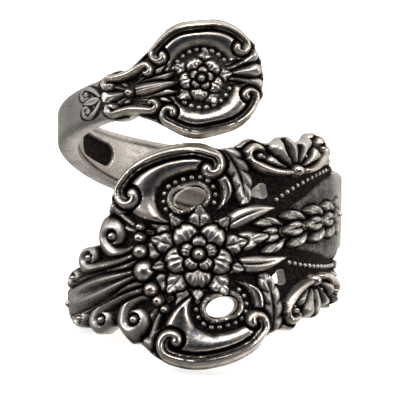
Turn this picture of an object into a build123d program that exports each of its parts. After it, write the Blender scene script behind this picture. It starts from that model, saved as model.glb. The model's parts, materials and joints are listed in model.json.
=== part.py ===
from build123d import *
import math
import os

import numpy as np
from scipy.interpolate import PchipInterpolator
from scipy.spatial import ConvexHull

# A ring made from one piece of silver: the handle of a small spoon, bent once and a third round
# a mandrel. Its round end faces the front, the plain band runs round the back, and the wide
# carved end comes round again below it and ends in a leaf tip at the left.
#
# The handle is first laid out flat. u runs along its centre line from the round end to the tip,
# v runs across it, and every height is measured from the wall of the finger hole. bend() then
# rolls a flat place on to the ring, whose finger hole lies along Z while it is made. The front
# of the ring faces -Y. Lengths are in millimetres and angles in degrees.

# Finger hole and metal
BORE_DIAMETER = 19.0
BAND_THICKNESS = 1.7
EDGE_THICKNESS = 1.0
GROUND_THICKNESS = 1.15
RELIEF_HEIGHT = 0.75
EDGE_ROUND = 0.7

# The flat handle, from the round end to the tip
ROUND_END_LENGTH = 9.3
NECK_LENGTH = 4.0
BAND_LENGTH = 44.0
SCROLL_LENGTH = 9.7
SHELL_LENGTH = 10.6
TIP_LENGTH = 7.0
ROUND_END_WIDTH = 9.0
NECK_WIDTH = 4.1
BAND_WIDTH = 3.2
SHOULDER_WIDTH = 6.6
SCROLL_WIDTH = 14.6
SHELL_WIDTH = 17.2
TIP_WIDTH = 10.2

# How it is wound
ROUND_END_TURN = 27.0
BYPASS_GAP = 0.25

# The sunk plate inside the band
PLATE_LENGTH = 5.4
PLATE_HEIGHT = 1.9
PLATE_DEPTH = 0.3
PLATE_TURN = 119.0

# The pierced windows
WINDOW_LENGTH = 2.5
WINDOW_WIDTH = 1.5
GAP_LENGTH = 1.3
GAP_WIDTH = 1.1

# Carved detail
RIM_WIDTH = 1.5
FLUTE_PITCH = 2.6
FLUTE_DEPTH = 0.35
PETAL_COUNT = 5
ROSETTE_DIAMETER = 5.6
SCROLL_EYE_DIAMETER = 2.4
HUSK_LENGTH = 2.8
HUSK_WIDTH = 2.2

# Facets
COLUMNS = 40
ROUND_END_STEP = 0.36
WIDE_END_STEP = 0.45
PLAIN_STEP = 2.75
SINK_INTO_BORE = 1.0
WINDOW_SIDES = 14

bore_radius = BORE_DIAMETER / 2
neutral_radius = bore_radius + BAND_THICKNESS / 2
handle_length = (
    ROUND_END_LENGTH + NECK_LENGTH + BAND_LENGTH + SCROLL_LENGTH + SHELL_LENGTH + TIP_LENGTH
)
neck_start = ROUND_END_LENGTH
band_start = neck_start + NECK_LENGTH
scroll_start = band_start + BAND_LENGTH
shell_start = scroll_start + SCROLL_LENGTH
tip_start = shell_start + SHELL_LENGTH

# One row for each section of the outline: its length, its full width, and how its half width
# runs from its start to its end, as (share of the length, share of the half width).
OUTLINE = [
    (ROUND_END_LENGTH, ROUND_END_WIDTH, [
        (0.0, 0.1), (0.02, 0.32), (0.04, 0.42), (0.11, 0.66), (0.18, 0.8), (0.26, 0.9), (0.34, 0.955),
        (0.49, 0.99), (0.6, 1.0), (0.69, 0.96), (0.77, 0.88), (0.83, 0.78), (0.98, 0.55),
    ]),
    (NECK_LENGTH, NECK_WIDTH, [(0.19, 0.97), (0.26, 0.86), (0.5, 0.96), (0.65, 0.93)]),
    (BAND_LENGTH, BAND_WIDTH, [(0.0, 1.0), (0.08, 1.0), (0.22, 1.06), (0.38, 1.34), (0.62, 1.72)]),
    (SCROLL_LENGTH, SHOULDER_WIDTH, [(-0.25, 0.98), (-0.02, 1.08)]),
    (SCROLL_LENGTH, SCROLL_WIDTH, [
        (0.08, 0.7), (0.14, 0.79), (0.25, 0.95), (0.3, 0.885), (0.48, 0.86), (0.56, 0.975),
        (0.67, 0.92), (0.77, 0.96), (0.84, 1.03), (0.97, 0.98),
    ]),
    (SHELL_LENGTH, SHELL_WIDTH, [
        (0.1, 0.85), (0.16, 0.92), (0.33, 0.985), (0.45, 1.0), (0.58, 0.99), (0.72, 0.945),
        (0.8, 0.89), (0.86, 0.84), (0.9, 0.78), (0.95, 0.72),
    ]),
    (TIP_LENGTH, TIP_WIDTH, [
        (0.0, 1.0), (0.13, 0.98), (0.18, 0.66), (0.3, 0.64), (0.42, 0.68), (0.52, 0.64),
        (0.6, 0.52), (0.78, 0.42), (0.92, 0.28), (0.98, 0.12), (1.0, 0.05),
    ]),
]
SECTION_STARTS = [0.0, neck_start, band_start, scroll_start, scroll_start, shell_start, tip_start]
outline_rows = [
    (start + place * length, share * width / 2)
    for start, (length, width, rows) in zip(SECTION_STARTS, OUTLINE)
    for place, share in rows
]

# How steeply the handle drops as it winds, as (share of its length, share of the mean drop)
LEAD = [
    (0.0, 0.87), (0.14, 0.83), (0.27, 1.04), (0.45, 1.0), (0.63, 0.87), (0.7, 0.94),
    (0.77, 1.25), (0.84, 1.45), (1.0, 1.35),
]
bypass_drop = (ROUND_END_WIDTH + SHELL_WIDTH) / 2 + BYPASS_GAP
mean_lead = math.atan(bypass_drop / (2 * math.pi * neutral_radius))


outline_curve = PchipInterpolator(*zip(*outline_rows))


def half_width(u):
    """Half the width of the flat handle at u."""
    return float(outline_curve(min(max(u, 0.0), handle_length)))


def from_edge(u, v):
    """How far a place on the flat handle lies inside its outline, straight to the nearest edge."""
    nearby = 0.2
    slope = (half_width(u + nearby) - half_width(u - nearby)) / (2 * nearby)
    across = (half_width(u) - abs(v)) / math.hypot(1.0, slope)
    return max(min(across, u + EDGE_ROUND / 2, handle_length - u + EDGE_ROUND / 2), 0.0)


def centre_line():
    """The centre line unrolled: at each u, how far it has gone round, its height and its lead."""
    u = np.linspace(0.0, handle_length, 400)
    lead = mean_lead * np.interp(u / handle_length, *zip(*LEAD))
    step = u[1] - u[0]
    around = np.concatenate([[0.0], np.cumsum(step * np.cos(lead[:-1]))])
    height = -np.concatenate([[0.0], np.cumsum(step * np.sin(lead[:-1]))])
    return u, around, height, lead


CENTRE_LINE = centre_line()


def bend(u, v, radius):
    """The place on the ring, at this radius from its axis, of a place on the flat handle."""
    around, height, lead = (float(np.interp(u, CENTRE_LINE[0], row)) for row in CENTRE_LINE[1:])
    turn = (around + v * math.sin(lead)) / neutral_radius - math.radians(ROUND_END_TURN)
    return Vector(
        -radius * math.sin(turn), -radius * math.cos(turn), height + v * math.cos(lead)
    )


def u_at_turn(turn):
    """The place along the handle whose centre line lies this many degrees round from the front."""
    around = math.radians(turn + ROUND_END_TURN) * neutral_radius
    return float(np.interp(around, CENTRE_LINE[1], CENTRE_LINE[0]))


def rise(distance, reach, height):
    """A smooth rise: its height at this distance from its middle, down to none at its reach."""
    share = min(abs(distance) / reach, 1.0)
    return height * (0.5 + 0.5 * math.cos(math.pi * share))


def leaf(u, v, middle_u, middle_v, length, width, heading):
    """A rounded leaf, whose long side points at heading degrees from the tip's way."""
    turn = math.radians(heading)
    along = (u - middle_u) * math.cos(turn) + (v - middle_v) * math.sin(turn)
    across = (v - middle_v) * math.cos(turn) - (u - middle_u) * math.sin(turn)
    reach = math.hypot(along / (length / 2), across / (width / 2))
    return rise(reach, 1.0, RELIEF_HEIGHT)


def spray(u, v, middle_u, middle_v, inner, outer, count):
    """Equal leaves that spread all round a middle, from an inner to an outer circle."""
    reach = (inner + outer) / 2
    width = 2 * math.pi * reach / count
    turn = math.atan2(v - middle_v, u - middle_u)
    nearest = 2 * math.pi / count * round(turn / (2 * math.pi / count))
    leaf_u = middle_u + reach * math.cos(nearest)
    leaf_v = middle_v + reach * math.sin(nearest)
    return leaf(u, v, leaf_u, leaf_v, (outer - inner) * 1.2, width, math.degrees(nearest))


def rosette(u, v, middle_u, middle_v):
    """A flower seen from above: a ring of round petals and a button in the middle."""
    reach = ROSETTE_DIAMETER / 2
    button = rise(math.hypot(u - middle_u, v - middle_v), reach * 0.4, RELIEF_HEIGHT)
    return max(button, spray(u, v, middle_u, middle_v, reach * 0.28, reach, PETAL_COUNT))


def fan(u, v, middle_u, middle_v, inner, outer):
    """A fluted shell: a raised collar from an inner to an outer circle, with hollow flutes."""
    reach = (inner + outer) / 2
    count = round(2 * math.pi * reach / FLUTE_PITCH)
    from_middle = math.hypot(u - middle_u, v - middle_v)
    turn = math.atan2(v - middle_v, u - middle_u)
    collar = rise(from_middle - reach, (outer - inner) * 0.6, 1.0)
    return collar * (RELIEF_HEIGHT - FLUTE_DEPTH * (0.5 - 0.5 * math.cos(count * turn)))


def scroll_eye(u, v, middle_u, middle_v):
    """The round knob that a scroll ends in."""
    from_middle = math.hypot(u - middle_u, v - middle_v)
    return rise(from_middle, SCROLL_EYE_DIAMETER / 2, RELIEF_HEIGHT)


# The middles of the carved forms on the wide end, which mirror about the centre line
shell_middle_u = shell_start + SHELL_LENGTH * 0.42
shell_middle_v = SHELL_WIDTH * 0.25
window_u = shell_middle_u - SHELL_LENGTH * 0.05
gap_u = scroll_start + SCROLL_LENGTH * 0.86
gap_v = SCROLL_WIDTH * 0.23
round_middle_u = ROUND_END_LENGTH * 0.52
HUSK_PLACES = [0.13, 0.42, 0.71, 1.0]
TIP_LEAVES = [(0.0, 0.94, 2.6), (34.0, 0.62, 2.2), (72.0, 0.5, 1.9)]


def round_end_forms(u, v):
    """The carving of the round end: a flower, and a leaf on the neck."""
    neck_middle = neck_start + NECK_LENGTH * 0.3
    return [
        rosette(u, v, round_middle_u, 0.0),
        leaf(u, v, neck_middle, 0.0, NECK_LENGTH * 1.3, NECK_WIDTH * 0.5, 0.0),
    ]


def wide_end_forms(u, v):
    """The carving of the wide end: shells, flower, scroll eyes, husks and the tip's leaves."""
    side = abs(v)
    shell_edge = half_width(shell_middle_u) - shell_middle_v - RIM_WIDTH * 0.5
    forms = [
        fan(u, side, window_u, shell_middle_v, WINDOW_LENGTH * 0.55, shell_edge),
        rosette(u, v, shell_middle_u, 0.0),
        scroll_eye(u, side, scroll_start + SCROLL_LENGTH * 0.27, SCROLL_WIDTH * 0.28),
        scroll_eye(u, side, shell_start - SCROLL_LENGTH * 0.16, SCROLL_WIDTH * 0.36),
    ]
    for place in HUSK_PLACES:
        middle = scroll_start + SCROLL_LENGTH * place
        forms.append(leaf(u, v, middle, 0.0, HUSK_LENGTH, HUSK_WIDTH, 0.0))
    for heading, share, width in TIP_LEAVES:
        reach = TIP_LENGTH * share
        middle_u = tip_start + reach / 2 * math.cos(math.radians(heading))
        middle_v = reach / 2 * math.sin(math.radians(heading))
        forms.append(leaf(u, side, middle_u, middle_v, reach, width, heading))
    return forms


def carved(u, v):
    """How far the carving stands above its ground at a place on the flat handle."""
    forms = round_end_forms(u, v) if u < band_start else wide_end_forms(u, v)
    rim = rise(max(from_edge(u, v) - RIM_WIDTH / 2, 0.0), RIM_WIDTH / 2, RELIEF_HEIGHT)
    return max(rim, *forms)


def plainness(u):
    """1 on the plain band, 0 on the carved ends, and between them where they blend."""
    blend = NECK_LENGTH / 2
    after = min(max((u - band_start + blend) / blend, 0.0), 1.0)
    before = min(max((scroll_start + blend - u) / blend, 0.0), 1.0)
    return after * before


def thickness(u, v):
    """The metal's thickness from the wall of the finger hole at a place on the flat handle."""
    fall = 1.0 - min(from_edge(u, v) / EDGE_ROUND, 1.0)
    rounding = 1.0 - math.sqrt(1.0 - fall * fall)
    plain = plainness(u)
    crown = BAND_THICKNESS - (BAND_THICKNESS - EDGE_THICKNESS) * rounding
    rough = max(GROUND_THICKNESS + carved(u, v) * (1.0 - rounding * 0.6), EDGE_THICKNESS)
    return plain * crown + (1.0 - plain) * rough


def stations():
    """The places along the handle where it has a row of corners."""
    pieces = [
        (0.0, band_start, ROUND_END_STEP),
        (band_start, scroll_start, PLAIN_STEP),
        (scroll_start, handle_length, WIDE_END_STEP),
    ]
    places = []
    for start, end, step in pieces:
        count = math.ceil((end - start) / step)
        places += [start + (end - start) * i / count for i in range(count)]
    return places + [handle_length]


def bent_handle():
    """The handle as one faceted solid that reaches a little into the finger hole."""
    places = stations()
    shares = [-1.0 + 2.0 * j / COLUMNS for j in range(COLUMNS + 1)]
    top = [
        [
            bend(u, share * half_width(u), bore_radius + thickness(u, share * half_width(u)))
            for share in shares
        ]
        for u in places
    ]
    hidden = bore_radius - SINK_INTO_BORE
    inside = [[bend(u, side * half_width(u), hidden) for side in (-1, 1)] for u in places]
    corners = []
    for near, far in zip(range(len(places)), range(1, len(places))):
        for j in range(COLUMNS):
            here, ahead = top[near][j], top[far][j]
            beside, across = top[near][j + 1], top[far][j + 1]
            if (across - here).length <= (ahead - beside).length:
                corners += [(here, ahead, across), (here, across, beside)]
            else:
                corners += [(here, ahead, beside), (beside, ahead, across)]
        for edge, side in ((0, 0), (COLUMNS, 1)):
            corners.append((inside[near][side], inside[far][side], top[far][edge]))
            corners.append((inside[near][side], top[far][edge], top[near][edge]))
        corners.append((inside[near][0], inside[near][1], inside[far][1]))
        corners.append((inside[near][0], inside[far][1], inside[far][0]))
    for end in (0, -1):
        for j in range(COLUMNS):
            corners.append((inside[end][0], top[end][j], top[end][j + 1]))
        corners.append((inside[end][0], top[end][COLUMNS], inside[end][1]))
    faces = [Face(Wire.make_polygon(corner)) for corner in corners]
    return Solid(Shell(Face.sew_faces(faces)[0]))


def radial_plane(u, v, radius):
    """A plane that touches the ring at a place on the handle and faces away from its axis."""
    outside = bend(u, v, radius + 1.0)
    inside = bend(u, v, radius)
    ahead = bend(u + 1.0, v, radius) - inside
    return Plane(origin=inside, x_dir=ahead, z_dir=outside - inside)


def window(u, v, length, width):
    """A cutter with a rounded outline that goes straight through the metal."""
    outline = scale(RegularPolygon(0.5, WINDOW_SIDES), by=(length, width, 1))
    plane = radial_plane(u, v, bore_radius - BAND_THICKNESS)
    return extrude(plane * outline, 4 * BAND_THICKNESS)


def sunk_plate():
    """A cutter for the rounded plate that is sunk into the wall of the finger hole."""
    plane = radial_plane(u_at_turn(PLATE_TURN), 0.0, bore_radius - BAND_THICKNESS)
    outline = plane * SlotOverall(PLATE_LENGTH, PLATE_HEIGHT)
    block = extrude(outline, 2 * BAND_THICKNESS)
    floor = Solid.make_cylinder(
        bore_radius + PLATE_DEPTH, 2 * bypass_drop, Plane((0, 0, -1.5 * bypass_drop))
    )
    return block & floor


def bored_ring():
    """The bent handle with its finger hole, its windows and its sunk plate."""
    deep = 3 * bypass_drop
    bore = Solid.make_cylinder(bore_radius, 2 * deep, Plane((0, 0, -deep)))
    cutters = [bore, sunk_plate()]
    for side in (-1, 1):
        cutters.append(window(window_u, side * shell_middle_v, WINDOW_LENGTH, WINDOW_WIDTH))
        cutters.append(window(gap_u, side * gap_v, GAP_LENGTH, GAP_WIDTH))
    return bent_handle() - cutters


def resting_plane(ring):
    """The floor under the ring where it lies by itself, as a plane that faces up into it.

    A thing rests on a face of its convex hull that its centre of mass stands over. Of those
    faces this takes the one that leaves the finger hole nearest upright.
    """
    corners = np.array([tuple(corner) for corner in ring.vertices()])
    middle = np.array(tuple(ring.center(CenterOf.MASS)))
    hull = ConvexHull(corners)
    best = None
    for face, equation in zip(hull.simplices, hull.equations):
        outward, offset = equation[:3], equation[3]
        below = middle - (outward @ middle + offset) * outward
        a, b, c = corners[face]
        sides = [
            np.cross(far - near, below - near) @ outward for near, far in ((a, b), (b, c), (c, a))
        ]
        over = min(sides) >= 0 or max(sides) <= 0
        if over and (best is None or outward[2] < best[2]):
            best = outward
    up = -best
    back = np.array([0.0, 1.0, 0.0]) - up[1] * up
    right = np.cross(back, up)
    return Plane(origin=(0, 0, 0), x_dir=tuple(right), z_dir=tuple(up))


def stood_on_floor(ring):
    """The ring turned as it rests, with the middle of its box's bottom at the origin."""
    turned = resting_plane(ring).to_local_coords(ring)
    box = turned.bounding_box()
    middle = box.center()
    return Pos(-middle.X, -middle.Y, -box.min.Z) * turned


if __name__ == "__main__":
    os.makedirs("parts", exist_ok=True)
    spoon_ring = stood_on_floor(bored_ring())
    export_step(spoon_ring, "parts/spoon_ring.step")
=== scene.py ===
import json
import math

import bmesh
import bpy
import numpy as np
from mathutils import Matrix, Vector


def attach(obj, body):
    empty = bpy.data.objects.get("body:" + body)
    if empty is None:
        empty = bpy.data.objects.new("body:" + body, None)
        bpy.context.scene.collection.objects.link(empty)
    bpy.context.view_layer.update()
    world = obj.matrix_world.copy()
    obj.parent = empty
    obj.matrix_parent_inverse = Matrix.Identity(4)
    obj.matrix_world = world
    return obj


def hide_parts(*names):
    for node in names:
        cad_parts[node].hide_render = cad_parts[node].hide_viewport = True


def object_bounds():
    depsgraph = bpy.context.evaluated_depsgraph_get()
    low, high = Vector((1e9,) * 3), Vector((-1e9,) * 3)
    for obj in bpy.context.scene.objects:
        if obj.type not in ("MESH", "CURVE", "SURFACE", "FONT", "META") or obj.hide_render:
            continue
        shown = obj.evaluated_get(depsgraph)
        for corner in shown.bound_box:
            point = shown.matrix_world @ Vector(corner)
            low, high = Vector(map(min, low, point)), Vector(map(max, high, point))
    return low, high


bl_info = {
    "name": "Spoon Ring",
    "version": (1, 0, 0),
    "blender": (4, 5, 0),
    "location": "View3D > Sidebar > Spoon Ring",
    "description": "Dresses a wound silver handle ring with its cast ornament, beads and studio",
    "category": "Object",
}

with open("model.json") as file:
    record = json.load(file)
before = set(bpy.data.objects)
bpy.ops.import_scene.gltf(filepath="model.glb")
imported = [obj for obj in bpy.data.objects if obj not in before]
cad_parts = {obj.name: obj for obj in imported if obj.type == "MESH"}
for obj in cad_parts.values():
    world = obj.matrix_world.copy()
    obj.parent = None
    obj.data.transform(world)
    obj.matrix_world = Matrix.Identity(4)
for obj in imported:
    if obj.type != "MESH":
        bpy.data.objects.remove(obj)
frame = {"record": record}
cad_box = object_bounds()

# The flat handle is laid out in millimetres: u runs along its centre line from the round end to
# the tip, v runs across it, and heights are measured from the wall of the finger hole.
MM = 0.001
finger_hole = frame["record"]["mounts"][0]
BORE_RADIUS = finger_hole["dims"]["r_mm"]
BAND_THICKNESS = 1.7
EDGE_THICKNESS = 1.0
GROUND_THICKNESS = 0.88
EDGE_ROUND = 0.7
INNER_ROUND = 0.28
SPRIG_HEIGHT = 0.45

ROUND_END_LENGTH = 9.3
NECK_LENGTH = 4.0
BAND_LENGTH = 44.0
SCROLL_LENGTH = 9.7
SHELL_LENGTH = 10.6
TIP_LENGTH = 7.0
ROUND_END_WIDTH = 9.0
NECK_WIDTH = 4.1
BAND_WIDTH = 3.2
SHOULDER_WIDTH = 6.6
SCROLL_WIDTH = 14.6
SHELL_WIDTH = 17.2
TIP_WIDTH = 10.2
ROUND_END_TURN = 27.0
BYPASS_GAP = 0.25
OUTLINE_WEAR = 0.35

PLATE_LENGTH = 5.4
PLATE_HEIGHT = 1.9
PLATE_DEPTH = 0.3
PLATE_SLOPE = 0.12
PLATE_TURN = 119.0
WINDOW_LENGTH = 2.5
WINDOW_WIDTH = 1.5
WINDOW_BAR = (WINDOW_LENGTH - WINDOW_WIDTH) / 2
WINDOW_REACH = WINDOW_WIDTH / 2
GAP_LENGTH = 1.3
GAP_WIDTH = 1.1
GAP_PINCH = 0.14

neutral_radius = BORE_RADIUS + BAND_THICKNESS / 2
neck_start = ROUND_END_LENGTH
band_start = neck_start + NECK_LENGTH
scroll_start = band_start + BAND_LENGTH
shell_start = scroll_start + SCROLL_LENGTH
tip_start = shell_start + SHELL_LENGTH
handle_length = tip_start + TIP_LENGTH

# The middles of the large forms
round_middle_u = ROUND_END_LENGTH * 0.52
shell_middle_u = shell_start + SHELL_LENGTH * 0.42
window_u = shell_middle_u - SHELL_LENGTH * 0.05
window_v = SHELL_WIDTH * 0.25
gap_u = scroll_start + SCROLL_LENGTH * 0.86
gap_v = SCROLL_WIDTH * 0.23

# Each section of the outline: its start, length and full width, and how its half width runs, as
# (share of the length, share of the half width)
OUTLINE = [
    (0.0, ROUND_END_LENGTH, ROUND_END_WIDTH, [
        (0.0, 0.1), (0.02, 0.32), (0.04, 0.42), (0.11, 0.66), (0.18, 0.8), (0.26, 0.9),
        (0.34, 0.955), (0.49, 0.99), (0.6, 1.0), (0.69, 0.96), (0.77, 0.88), (0.83, 0.78),
        (0.98, 0.55),
    ]),
    (neck_start, NECK_LENGTH, NECK_WIDTH, [(0.19, 0.97), (0.26, 0.86), (0.5, 0.96), (0.65, 0.93)]),
    (band_start, BAND_LENGTH, BAND_WIDTH, [
        (0.0, 1.0), (0.08, 1.0), (0.22, 1.06), (0.38, 1.34), (0.62, 1.72),
    ]),
    (scroll_start, SCROLL_LENGTH, SHOULDER_WIDTH, [(-0.25, 0.98), (-0.02, 1.08)]),
    (scroll_start, SCROLL_LENGTH, SCROLL_WIDTH, [
        (0.08, 0.7), (0.14, 0.79), (0.25, 0.95), (0.3, 0.885), (0.48, 0.86), (0.56, 0.975),
        (0.67, 0.92), (0.77, 0.96), (0.84, 1.03), (0.97, 0.98),
    ]),
    (shell_start, SHELL_LENGTH, SHELL_WIDTH, [
        (0.1, 0.85), (0.16, 0.92), (0.33, 0.985), (0.45, 1.0), (0.58, 0.99), (0.72, 0.945),
        (0.8, 0.89), (0.86, 0.84), (0.9, 0.78), (0.95, 0.72),
    ]),
    (tip_start, TIP_LENGTH, TIP_WIDTH, [
        (0.0, 1.0), (0.13, 0.98), (0.18, 0.66), (0.3, 0.64), (0.42, 0.68), (0.52, 0.64),
        (0.6, 0.52), (0.78, 0.42), (0.92, 0.28), (0.98, 0.12), (1.0, 0.05),
    ]),
]
outline_rows = [
    (start + place * length, share * width / 2)
    for start, length, width, rows in OUTLINE
    for place, share in rows
]

# How steeply the handle drops as it winds, as (share of its length, share of the mean drop)
LEAD = [
    (0.0, 0.87), (0.14, 0.83), (0.27, 1.04), (0.45, 1.0), (0.63, 0.87), (0.7, 0.94),
    (0.77, 1.25), (0.84, 1.45), (1.0, 1.35),
]
bypass_drop = (ROUND_END_WIDTH + SHELL_WIDTH) / 2 + BYPASS_GAP
mean_lead = math.atan(bypass_drop / (2 * math.pi * neutral_radius))

# The carving's lines and tools, and the places where its parts start
BOW_PLACES = 24
CURL_PLACES = 40
GROOVE_WIDTH = 0.2
GROOVE_FLOOR = 0.15
CUT_WIDTH = 0.085
RIM_CUT = -0.4
SWELLING_RIDGE = 0.64
EDGE_LINE_WIDTH = 0.44
EDGE_LINE_INSET = 0.2
PLAIN_START = neck_start + NECK_LENGTH * 0.78
PLAIN_BLEND = 0.4
TONGUE_START = scroll_start - 3.7
TONGUE_END = shell_start - 2.6
TONGUE_BLEND = 0.7
TONGUE_SINK = 1.8
TONGUE_WIDTH = 7.6
PETALS = 5
ROUND_FLOWER = 3.5
WIDE_FLOWER = 5.3
BEAD_CHANNEL = WINDOW_REACH + 0.7
HUSK_PLACES = [-0.2, 0.04, 0.28, 0.52, 0.76]
HUSK_LENGTH = 2.4

# The meshes. Each piece has so many columns on its outer side and on its inner wall.
FACE_CLEARANCE = 0.06
SEAM = scroll_start - 4.0
CARVED_END = band_start + 3.6
COLUMNS = {"round_end_and_band": (171, 51), "wide_end": (201, 31)}
PLAIN_STEP = 0.4
PLATE_STEP = 0.05
UV_SCALE = 0.01
INNER_WALL_ASIDE = 40.0
CUTTER_SIDES = 40
CUTTER_RADII = (BORE_RADIUS - 1.0, BORE_RADIUS + 4.0)

# The finish. A pair tells where a change begins and ends, in height or along the handle.
GROUND_FADE = (0.05, 0.45)
CREASE_RISE = (-0.03, 0.08)
CREASE_REACH = 3
# Painted shade: places that lie low among their neighbours are painted dark
LOW_RISE = (-0.35, 0.22)
LOW_REACH = 11
LOW_SHADE = 0.95
EDGE_WEAR = (0.0, 0.2)
ROUND_END_WEAR = 0.14
TIP_WEAR = 0.34
# How far along the handle the painted shade of low places takes to come in from the tongue's start
TONGUE_DARKENING = 4.5
# How strong the painted dark bluish reflection is on the round end's upper and lower swelling, and
# its least and most on the wide end
ROUND_END_PAINTED_REFLECTION = (0.2, 1.4)
WIDE_END_PAINTED_REFLECTION = (0.35, 1.3)
PAINTED_REFLECTION_LEAN = (-2.6, 2.2)
# Painted shade: a dark line along the edges of the inner wall, and how strong it is along the lower
# and the upper edge
EDGE_SHADE_INSET = 0.22
EDGE_SHADE_WIDTH = 0.14
EDGE_SHADE = (0.85, 0.5)
# The inner wall is darkened with streaks round the back, partly as painted shade, between these
# places along the handle.
BACK_SHADE_SLOPES = [(28.5, 34.0), (scroll_start - 2.0, scroll_start - 10.0)]

# Clouds of noise, as (scale, detail, low, high, share): low to high is spread between 0 and share.
PATCHES = (520.0, 4.0, 0.4, 0.72, 0.22)
WARMTH = (900.0, 2.0, 0.35, 0.65, 1.0)
SPECKS = (7500.0, 3.0, 0.5, 0.68, 0.42)
TARNISH = (2100.0, 6.0, 0.44, 0.7, 0.42)
# Clouds in the painted dark reflection
PAINTED_REFLECTION_CLOUDS = (1400.0, 5.0, 0.42, 0.6, 0.85)
SOOT = (4200.0, 3.0, 0.45, 0.75, 1.0)
CLOUD_ROUGHNESS = 0.6
STREAK_SCALE = (16.0, 130.0)
STREAKS = (0.22, 0.62)
STREAK_SHARE = 0.86
SCRATCH_SCALE = (18.0, 260.0)
SCRATCH_STRENGTH = 0.22
SCRATCH_DEPTH = 0.00005
# Soiled places, painted shade among them, are rougher
SOIL_AND_SHADE_ROUGHNESS = 0.4
BEAD_UNEVENNESS = 0.14
BEAD_SEED = 7

# The studio. A glow is such a pair, then the brightness at either end.
PHOTO_WIDTH = 400
PHOTO_PIXELS_PER_MM = 13.0
CAMERA_AIM = (0.0, -5.0, -9.68)
SENSOR_WIDTH = 36.0
FRONT_LIFT = math.radians(28.0)
FRONT = (0.0, -math.cos(FRONT_LIFT), math.sin(FRONT_LIFT))
FRONT_GLOW = (0.97, 0.42, 0.05, 1.0)
FRONT_TINT = (0.55, 0.66, 1.0)
CEILING_GLOW = (-0.1, 0.95, 0.27, 1.15)
CORNER = Vector((0.42, 0.8, -0.42)).normalized()
CORNER_GLOW = (0.35, 0.85, 0.0, 0.85)
ROOM_TINT = (1.0, 0.97, 0.93)
FLOOR_REACH = 6.0
FLOOR_ROUGHNESS = 0.85
FLOOR_GLOW = 0.6
# Each lamp's name, place, size and share of the lamp power
LAMPS = [
    ("top_box", (-0.05, -0.05, 0.4), (0.3, 0.2), 1.0),
    ("left_box", (-0.35, -0.1, 0.2), (0.1, 0.25), 0.64),
    ("right_box", (0.35, -0.15, 0.15), (0.06, 0.25), 0.5),
]

LENGTH = {"unit": "LENGTH", "precision": 5}
COLOUR = {"size": 3, "min": 0.0, "max": 1.0, "subtype": "COLOR"}


class HandleSizes(bpy.types.PropertyGroup):
    """Sizes of the ring's cast ornament."""

    relief_height: bpy.props.FloatProperty(
        name="Relief height", description="How far the ornament stands above its ground",
        default=0.001, min=0.0002, max=0.0014, **LENGTH,
    )
    rim_width: bpy.props.FloatProperty(
        name="Rim width", description="Width of the raised rim along the carved edges",
        default=0.00085, min=0.0004, max=0.0015, **LENGTH,
    )
    bead_diameter: bpy.props.FloatProperty(
        name="Bead diameter", description="Diameter of one bead of the beaded rows",
        default=0.0004, min=0.0002, max=0.0008, **LENGTH,
    )
    bead_pitch: bpy.props.FloatProperty(
        name="Bead pitch", description="Distance from one bead to the next in a row",
        default=0.0006, min=0.0004, max=0.002, **LENGTH,
    )
    mesh_step: bpy.props.FloatProperty(
        name="Carving step", description="Distance between the rows of corners on the carving",
        default=0.00008, min=0.00006, max=0.0004, **LENGTH,
    )


class SilverFinish(bpy.types.PropertyGroup):
    """Colours and polish of the blackened silver."""

    silver_colour: bpy.props.FloatVectorProperty(
        name="Silver colour", description="Colour of the worn, bright silver",
        default=(0.75, 0.69, 0.62), **COLOUR,
    )
    # Also the colour of the painted shade on low places and along the inner wall's edges
    patina_and_shade_colour: bpy.props.FloatVectorProperty(
        name="Hollow colour", description="Colour of the blackened hollows",
        default=(0.013, 0.0098, 0.009), **COLOUR,
    )
    warm_colour: bpy.props.FloatVectorProperty(
        name="Warm colour", description="Colour of the silver where its tarnish is warm",
        default=(0.75, 0.655, 0.565), **COLOUR,
    )
    inner_colour: bpy.props.FloatVectorProperty(
        name="Inner colour", description="Colour of the dull inner wall",
        default=(0.72, 0.66, 0.60), **COLOUR,
    )
    satin_colour: bpy.props.FloatVectorProperty(
        name="Satin colour", description="Colour of the satin plain band",
        default=(0.63, 0.598, 0.561), **COLOUR,
    )
    # A painted dark bluish reflection on the shells and the tongue
    painted_reflection_colour: bpy.props.FloatVectorProperty(
        name="Film colour", description="Colour of the bluish tarnish film on the shells",
        default=(0.16, 0.17, 0.21), **COLOUR,
    )
    # The streaks show round the back of the inner wall only, partly as painted shade
    streak_colour: bpy.props.FloatVectorProperty(
        name="Streak colour", description="Colour of the dark streaks on the inner wall",
        default=(0.12, 0.105, 0.095), **COLOUR,
    )
    soot_colour: bpy.props.FloatVectorProperty(
        name="Soot colour", description="Colour of the paler clouds in the blackened hollows",
        default=(0.056, 0.047, 0.045), **COLOUR,
    )
    polish: bpy.props.FloatProperty(
        name="Polish", description="Roughness of the worn high places",
        default=0.18, min=0.05, max=0.6, subtype="FACTOR",
    )
    satin: bpy.props.FloatProperty(
        name="Satin", description="Roughness of the plain band",
        default=0.4, min=0.1, max=0.8, subtype="FACTOR",
    )


class StudioSettings(bpy.types.PropertyGroup):
    """The floor, the lamps and the camera."""

    floor_colour: bpy.props.FloatVectorProperty(
        name="Floor colour", description="Colour of the pale floor",
        default=(0.92, 0.92, 0.92), **COLOUR,
    )
    camera_tilt: bpy.props.FloatProperty(
        name="Camera tilt", description="How far the camera looks down across the finger hole",
        default=math.radians(-4.0), subtype="ANGLE",
    )
    camera_distance: bpy.props.FloatProperty(
        name="Camera distance", description="Distance from the camera to the ring",
        default=0.3, min=0.1, max=2.0, unit="LENGTH",
    )
    lamp_power: bpy.props.FloatProperty(
        name="Lamp power", description="Power of the main soft box", default=1.0, min=0.0,
        unit="POWER",
    )


# Shape of the flat handle and how it is wound


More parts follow.
